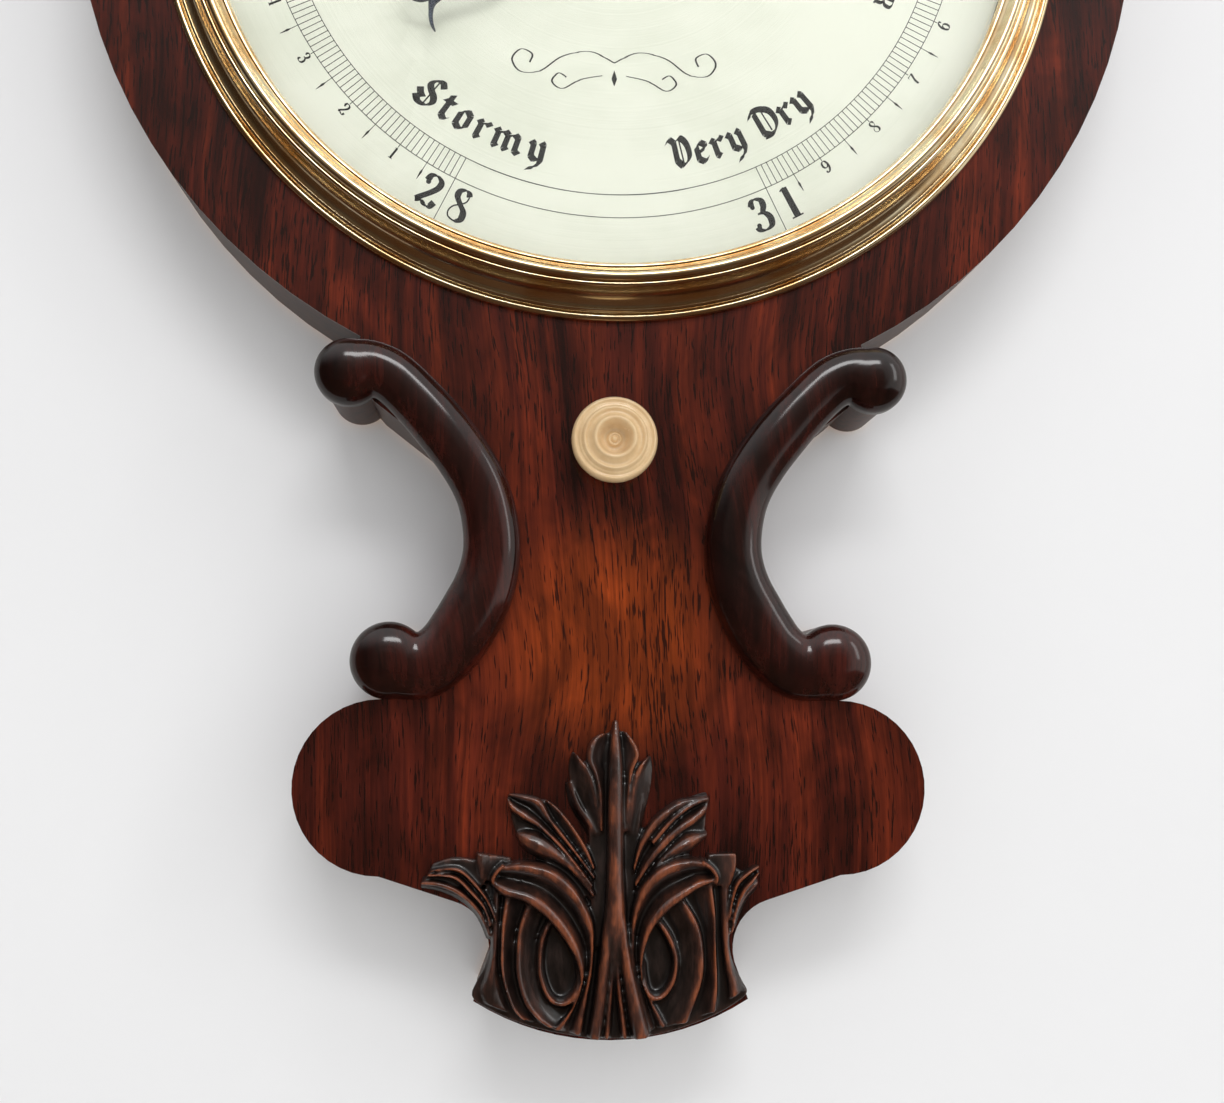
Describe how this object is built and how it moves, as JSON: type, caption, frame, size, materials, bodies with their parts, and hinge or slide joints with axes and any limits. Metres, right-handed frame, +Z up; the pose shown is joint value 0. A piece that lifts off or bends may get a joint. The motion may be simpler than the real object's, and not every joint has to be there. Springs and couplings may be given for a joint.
{
  "type": "banjo wheel barometer",
  "caption": "Wall-hung wheel barometer in a banjo-shaped wooden case, with a hinged brass bezel over a silvered dial, a siphon tube, a neck thermometer and a back door.",
  "frame": {"origin": "centre of the hanging plate's hole, on the wall plane", "axes": "+Z up along the case, +Y from the front into the wall, +X to the viewer's right"},
  "size_m": [0.2698, 0.0462, 0.9597],
  "materials": {
    "veneer": "French-polished rosewood veneer",
    "moulding": "dark polished carved rosewood",
    "carcass": "planed pine, waxed",
    "brass": "turned and lacquered",
    "steel": "turned",
    "blued_steel": "heat-blued",
    "silvered": "silvered brass, matt, engraved",
    "glass": "clear",
    "bone": "turned and polished bone",
    "mercury": "liquid metal",
    "silk": "twisted silk",
    "cork": "cut cork"
  },
  "bodies": {
    "case": {"front_veneer": "veneer", "lower_scroll_left": "moulding", "lower_scroll_right": "moulding", "upper_scroll_left": "moulding", "upper_scroll_right": "moulding", "base_leaf": "moulding", "crest_leaf": "moulding", "thermometer_frame": "moulding", "case_body": "carcass", "lower_cover": "carcass", "neck_cover": "carcass", "cover_screws": "brass", "door_hinge_fixed": "brass", "turn_button_screw": "brass", "hanging_plate": "brass", "bezel_hinge_fixed": "brass", "bezel_hinge_pin": "brass", "bezel_hinge_screws": "brass", "arbor_bridge": "brass", "pipe_bush": "brass", "knob_bush": "brass", "door_hinge_pins": "steel", "hanging_screws": "steel", "bridge_screws": "steel", "dial_plate": "silvered", "dial_screws": "silvered", "thermometer_scale": "silvered", "siphon_tube": "glass", "guide_tube": "glass", "thermometer_glass": "glass", "thermometer_tube": "glass", "mercury_long": "mercury", "mercury_short": "mercury", "thermometer_mercury": "mercury", "set_hand_cord": "silk", "lower_corks": "cork", "neck_corks": "cork", "bend_rest": "cork"},
    "bezel": {"bezel_ring": "brass", "bezel_glass": "glass", "glass_retainer": "brass", "bezel_hinge_moving": "brass"},
    "door": {"back_door": "carcass", "door_hinge_moving": "brass"},
    "button": {"turn_button": "brass"},
    "indicator": {"indicator_hand": "blued_steel", "hand_collet": "brass", "indicator_arbor": "steel", "thread_pulley": "brass"},
    "set_hand": {"set_hand": "brass", "set_hand_pipe": "brass", "set_hand_pulley": "brass"},
    "knob": {"setting_knob": "bone", "knob_spindle": "brass", "knob_pulley": "brass"},
    "float": {"float_weight": "steel", "float_thread": "silk"},
    "counterweight": {"counterweight": "steel", "counter_thread": "silk"}
  },
  "joints": [
    {"name": "bezel_hinge", "type": "hinge", "parent": "case", "child": "bezel", "pos_m": [0.1181, -0.033, -0.66098], "axis": [0, 0, 1], "range_deg": [0, 100]},
    {"name": "door_hinge", "type": "hinge", "parent": "case", "child": "door", "pos_m": [-0.058, -0.0015, -0.67598], "axis": [0, 0, 1], "range_deg": [0, 110]},
    {"name": "button_turn", "type": "hinge", "parent": "case", "child": "button", "pos_m": [0.064, 0, -0.67598], "axis": [0, 1, 0], "range_deg": [0, 90]},
    {"name": "indicator_turn", "type": "hinge", "parent": "case", "child": "indicator", "pos_m": [0, 0, -0.66098], "axis": [0, 1, 0], "range_deg": [-199.5, 109]},
    {"name": "float_rise", "type": "slide", "parent": "case", "child": "float", "axis": [0, 0, 1], "range_m": [-0.01356, 0.02474], "deforming": ["mercury_short", "float_thread"]},
    {"name": "counterweight_rise", "type": "slide", "parent": "case", "child": "counterweight", "axis": [0, 0, 1], "range_m": [-0.02474, 0.01356], "deforming": ["mercury_long", "counter_thread"]},
    {"name": "knob_turn", "type": "hinge", "parent": "case", "child": "knob", "pos_m": [0, 0, -0.80698], "axis": [0, 1, 0], "continuous": true},
    {"name": "set_hand_turn", "type": "hinge", "parent": "case", "child": "set_hand", "pos_m": [0, 0, -0.66098], "axis": [0, 1, 0], "continuous": true}
  ],
  "couplings": [
    {"joint": "float_rise", "follows": "indicator_turn", "m_per_rad": -0.0070761},
    {"joint": "counterweight_rise", "follows": "indicator_turn", "m_per_rad": 0.0070761},
    {"joint": "knob_turn", "follows": "set_hand_turn", "ratio": 1}
  ]
}
